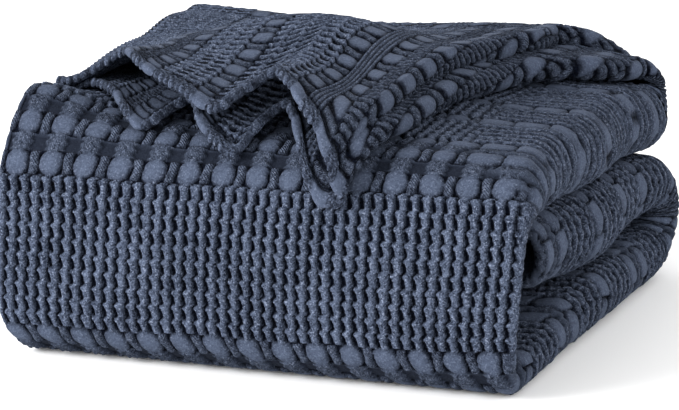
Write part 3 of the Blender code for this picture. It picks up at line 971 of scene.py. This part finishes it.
def cotton():
    """The cloth's material. The pieces' masks say where shade is painted in its holes and gaps, and where it
    is smooth, twisted or closed up.
    """
    material = bpy.data.materials.new("washed_cotton")
    material.use_nodes = True
    nodes = material.node_tree.nodes
    links = material.node_tree.links
    shader = nodes["Principled BSDF"]
    fill(shader, {"Roughness": 0.92, "Specular IOR Level": 0.05, "Sheen Weight": 0.02,
                  "Sheen Roughness": 0.45, "Sheen Tint": (0.55, 0.65, 0.85, 1.0)})

    def node(kind, **values):
        made = nodes.new(kind)
        for key, value in values.items():
            setattr(made, key, value)
        return made

    def attribute(name):
        return node("ShaderNodeAttribute", attribute_name=name).outputs["Fac"]

    def math_node(operation, *inputs):
        made = node("ShaderNodeMath", operation=operation)
        for socket, value in zip(made.inputs, inputs):
            if isinstance(value, (int, float)):
                socket.default_value = value
            else:
                links.new(value, socket)
        return made.outputs[0]

    def add(one, two):
        return math_node("ADD", one, two)

    def times(one, two):
        return math_node("MULTIPLY", one, two)

    where = node("ShaderNodeTexCoord").outputs["Object"]
    on_cloth = node("ShaderNodeUVMap", uv_map="cloth").outputs["UV"]

    def noise(scale, low, high):
        made = node("ShaderNodeTexNoise")
        fill(made, {"Scale": scale, "Detail": 2.0})
        links.new(where, made.inputs["Vector"])
        spread = node("ShaderNodeMapRange")
        fill(spread, {"From Min": low, "From Max": high})
        links.new(made.outputs["Fac"], spread.inputs["Value"])
        return spread.outputs["Result"]

    def wave(direction, scale, distortion):
        made = node("ShaderNodeTexWave", wave_type="BANDS", bands_direction=direction)
        fill(made, {"Scale": scale, "Distortion": distortion})
        links.new(on_cloth, made.inputs["Vector"])
        return made.outputs["Fac"]

    def mix(blend_type, one, colour, factor):
        made = node("ShaderNodeMix", data_type="RGBA", blend_type=blend_type)
        fill(made, {"B": colour})
        links.new(one, made.inputs["A"])
        links.new(factor, made.inputs["Factor"])
        return made.outputs["Result"]

    fibre = noise(*FIBRE)
    yarn = noise(*YARN)
    fade = noise(*FADE)
    closed = attribute("closed")
    fine_pleats = wave(*FINE_PLEATS)
    rough = math_node("SUBTRACT", 1.0, times(attribute("flat"), SMOOTH_LOSS))

    # colour: washed yarns, with painted shade in the holes, gaps and pleat troughs, and bright specks of
    # loose fibre
    of_fibre, of_yarn, of_fade = TONE_SHARES
    tone = add(times(yarn, of_yarn), times(fade, of_fade))
    tone = add(tone, times(fibre, of_fibre))
    tone = add(MIDDLE_TONE, times(math_node("SUBTRACT", tone, MIDDLE_TONE), rough))
    tint = node("ShaderNodeValToRGB")
    for element, position, colour in zip(tint.color_ramp.elements, TONE_ENDS, (DARK_YARN, PALE_YARN)):
        element.position = position
        element.color = colour
    links.new(tone, tint.inputs["Fac"])
    specks = times(math_node("GREATER_THAN", fibre, SPECK_START), rough)
    colour = mix("MIX", tint.outputs["Color"], SPECK, times(specks, SPECK_STRENGTH))
    # painted shade: the deep mask, and the troughs between the fine pleats
    troughs = times(closed, math_node("POWER", math_node("SUBTRACT", 1.0, fine_pleats), TROUGH_POWER))
    dark = math_node("MAXIMUM", attribute("deep"), times(troughs, TROUGH_SHADE))
    links.new(mix("MULTIPLY", colour, HOLE_SHADE, dark), shader.inputs["Base Color"])

    # relief finer than the mesh: yarns, the twist of the ribs between pillows, the strands of the necks
    of_fibre, of_yarn = YARN_RELIEF
    relief = times(add(times(fibre, of_fibre), times(yarn, of_yarn)), rough)
    twisted = times(wave(*TWISTED_RIBS), attribute("rope"))
    strands = times(wave(*NECK_STRANDS), attribute("neck"))
    for part, share in zip((twisted, strands, times(fine_pleats, closed)), WAVE_RELIEF):
        relief = add(relief, times(part, share))
    raised = node("ShaderNodeBump")
    fill(raised, {"Distance": RELIEF_HEIGHT, "Strength": 1.0})
    links.new(relief, raised.inputs["Height"])
    links.new(raised.outputs["Normal"], shader.inputs["Normal"])
    return material


# ---- the blanket
# Steps in mm between rows and between columns of points.
FINE = (1.10, 0.92)  # where the weave shows best
MIDDLING = (1.7, 1.45)
PLAIN = 3.0  # both, where little is seen
HEM_COLUMN = 1.05  # between columns on the flap's upper parts
FAINT = 0.2  # strength of the relief between the layers

MID_FRONT = 4.5  # stages where columns are measured
MID_BOTTOM = 2.5
MID_FLAP = 8.5
INNER_STAGE = 5.5
SPLIT_PLACE = 0.70  # where the top's left and right pieces meet
COVERED_STAGE = 6.34  # from here the flap covers the top's left
ROLL_END = 2.1  # where the right rolls' pieces end
LEFT_TURN = (2.93, 4.06)  # section places of the left turn's piece
INNER_EDGE = 6.93  # section place where the hidden edge starts

HEM_TURN = 9  # steps round the hem
EDGE_TURN = 7  # steps round an open edge
HEM_BACK = np.linspace(9.0, 8.75, 40)[1:]  # stages on the hem's other face
LEFT_BACK = np.linspace(0.0, 0.10, 9)[1:]  # section places on the left edge's other face
INNER_BACK = np.linspace(LAST_PLACE, 6.94, 6)[1:]

FRONT_COLUMNS = places_between(0.0, 2.0, FINE[1], MID_FRONT)
SPLIT = int(np.searchsorted(FRONT_COLUMNS, SPLIT_PLACE))
ROLL_COLUMNS = places_between(1.0, 2.0, HEM_COLUMN, 8.3)
LAYER_COLUMNS = places_between(2.0, 3.5, HEM_COLUMN, MID_FLAP)
LOWER_COLUMNS = places_between(0.0, 1.0, 1.3, MID_FLAP)

cloth_material = cotton()


def piece(name, rows, columns, **options):
    """A finished piece of the cloth over stages and section places."""
    obj = sheet_of_cloth(name, rows, columns, **options)
    obj.data.materials.append(cloth_material)
    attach(obj, "root")
    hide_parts(NODE)


def strip(name, stages, places, detail, section_stage, **options):
    """A piece between two stages and two section places, at one step of detail."""
    rows = stages_between(*stages, detail[0])
    columns = places_between(*places, detail[1], section_stage)
    piece(name, rows, columns, **options)


def edged_piece(name, rows, columns, **options):
    """A piece that also turns round the cloth's left edge."""
    places, turn = turned(columns[::-1], 0.0, LEFT_BACK, EDGE_TURN)
    piece(name, rows, places[::-1], place_turn=turn[::-1], place_way=-1.0, **options)


# the front and the top
edged_piece("front_fold", stages_between(3.0, 6.0, FINE[0]), FRONT_COLUMNS)
left = FRONT_COLUMNS[:SPLIT + 1]
right = np.append(FRONT_COLUMNS[SPLIT:], (2.03, 2.06))
edged_piece("top_front", stages_between(6.0, COVERED_STAGE, FINE[0]), left)
piece("top_right", stages_between(6.0, 7.0, FINE[0]), right)
edged_piece("top_covered", stages_between(COVERED_STAGE, 7.0, PLAIN), left[::3], strength=0.4)

# the rolls, the back and the bottom
strip("middle_roll", (NOSE_START - 1.0, 1.0), (0.9, ROLL_END), FINE, 0.6)
strip("bottom_roll", (2.0, 3.0), (0.85, ROLL_END), FINE, MID_BOTTOM)
columns = places_between(0.0, ROLL_END, MIDDLING[1], 1.5)
edged_piece("lower_back", stages_between(1.0, 2.0, MIDDLING[0]), columns)
columns = places_between(0.0, 0.85, PLAIN, MID_BOTTOM)
edged_piece("underside", stages_between(2.0, 3.0, PLAIN), columns)
columns = np.concatenate((ROLL_COLUMNS[:-1], LAYER_COLUMNS))
piece("upper_back", stages_between(7.0, 8.0, 1.6), columns)

# the flap
rows, turn = turned(np.linspace(8.0, 9.0, 251), LAST_STAGE, HEM_BACK, HEM_TURN)
piece("flap_top", rows, LAYER_COLUMNS, stage_turn=turn, hem=True)
piece("flap_roll", rows, ROLL_COLUMNS, stage_turn=turn, hem=True)
rows, turn = turned(np.linspace(8.5, 9.0, 110), LAST_STAGE, HEM_BACK, HEM_TURN)
piece("flap_lower", rows, LOWER_COLUMNS, face=-1, stage_turn=turn, hem=True)

# the parts inside, and the left turns
strip("inner_bottom", (0.0, 8.0), (ROLL_END, LEFT_TURN[0]), (7.0, 7.0), INNER_STAGE, strength=FAINT)
rows = stages_between(0.0, 8.0, 2.3)
piece("left_turns", rows, places_between(*LEFT_TURN, 2.2, INNER_STAGE))
strip("inner_layers", (0.0, 8.0), (LEFT_TURN[1], INNER_EDGE), (8.0, 8.0), INNER_STAGE, strength=FAINT)
places, turn = turned(np.linspace(INNER_EDGE, LAST_PLACE, 8), LAST_PLACE, INNER_BACK, EDGE_TURN)
piece("inner_edge", rows, places, place_turn=turn)
columns = places_between(3.5, 6.95, 7.0, MID_FLAP)
piece("inner_flap", np.linspace(8.0, 9.0, 50), columns, strength=FAINT)
columns = places_between(0.0, 0.9, 6.0, 0.5)
edged_piece("middle_top", stages_between(NOSE_START, 1.0, 4.0), columns, strength=FAINT)


# ---- studio
FLOOR_Z = -0.0002  # metres, just under the blanket
HORIZON_LIGHT = 3.0
OVERHEAD_LIGHT = 0.6
LAMP_PLACE = (-1.6, -1.7, 1.05)
LAMP_AIM = (0, 0, 0.08)
CAMERA_AZIMUTH = 19.04  # degrees to the right of the front
CAMERA_HEIGHT = 14.3  # degrees above the level
CAMERA_PLACE = (0.8609, -2.5226, 0.7545)
CAMERA_LENS = 212.08  # mm


def studio():
    """White paper, light from all round that is brightest near the horizon, and one large lamp."""
    bpy.ops.mesh.primitive_plane_add(size=12.0, location=(0, 0, FLOOR_Z))
    floor = bpy.context.object
    floor.name = "floor"
    paper = bpy.data.materials.new("paper")
    paper.use_nodes = True
    fill(paper.node_tree.nodes["Principled BSDF"], {"Base Color": (0.93, 0.93, 0.93, 1), "Roughness": 0.9})
    floor.data.materials.append(paper)
    world = bpy.data.worlds.new("studio")
    world.use_nodes = True
    sky = world.node_tree.nodes
    background = sky["Background"]
    direction = sky.new("ShaderNodeTexCoord")
    split = sky.new("ShaderNodeSeparateXYZ")
    height = sky.new("ShaderNodeMapRange")
    fill(height, {"To Min": HORIZON_LIGHT, "To Max": OVERHEAD_LIGHT})
    join = world.node_tree.links
    join.new(direction.outputs["Generated"], split.inputs["Vector"])
    join.new(split.outputs["Z"], height.inputs["Value"])
    join.new(height.outputs["Result"], background.inputs["Strength"])
    fill(background, {"Color": (1, 1, 1, 1)})
    scene.world = world
    key = bpy.data.lights.new("key", "AREA")
    key.shape = "DISK"
    key.size = 1.5
    key.energy = 85.0
    lamp = bpy.data.objects.new("key", key)
    lamp.location = LAMP_PLACE
    lamp.rotation_mode = "QUATERNION"
    lamp.rotation_quaternion = (Vector(LAMP_AIM) - lamp.location).to_track_quat("-Z", "Y")
    scene.collection.objects.link(lamp)
    scene.view_settings.view_transform = "Standard"
    scene.view_settings.look = "None"


def camera():
    """A long lens from the front right and a little above."""
    azimuth = math.radians(CAMERA_AZIMUTH)
    height = math.radians(CAMERA_HEIGHT)
    lens = bpy.data.cameras.new("camera")
    lens.lens = CAMERA_LENS
    lens.sensor_width = 36.0
    lens.sensor_fit = "HORIZONTAL"
    lens.clip_start = 0.1
    lens.clip_end = 30.0
    eye = bpy.data.objects.new("camera", lens)
    level = math.cos(height)
    back = Vector((math.sin(azimuth) * level, -math.cos(azimuth) * level, math.sin(height)))
    right = Vector((math.cos(azimuth), math.sin(azimuth), 0.0))
    up = back.cross(right)
    turn = Matrix((right, up, back)).transposed().to_4x4()
    turn.translation = Vector(CAMERA_PLACE)
    eye.matrix_world = turn
    scene.collection.objects.link(eye)
    scene.camera = eye


studio()
camera()
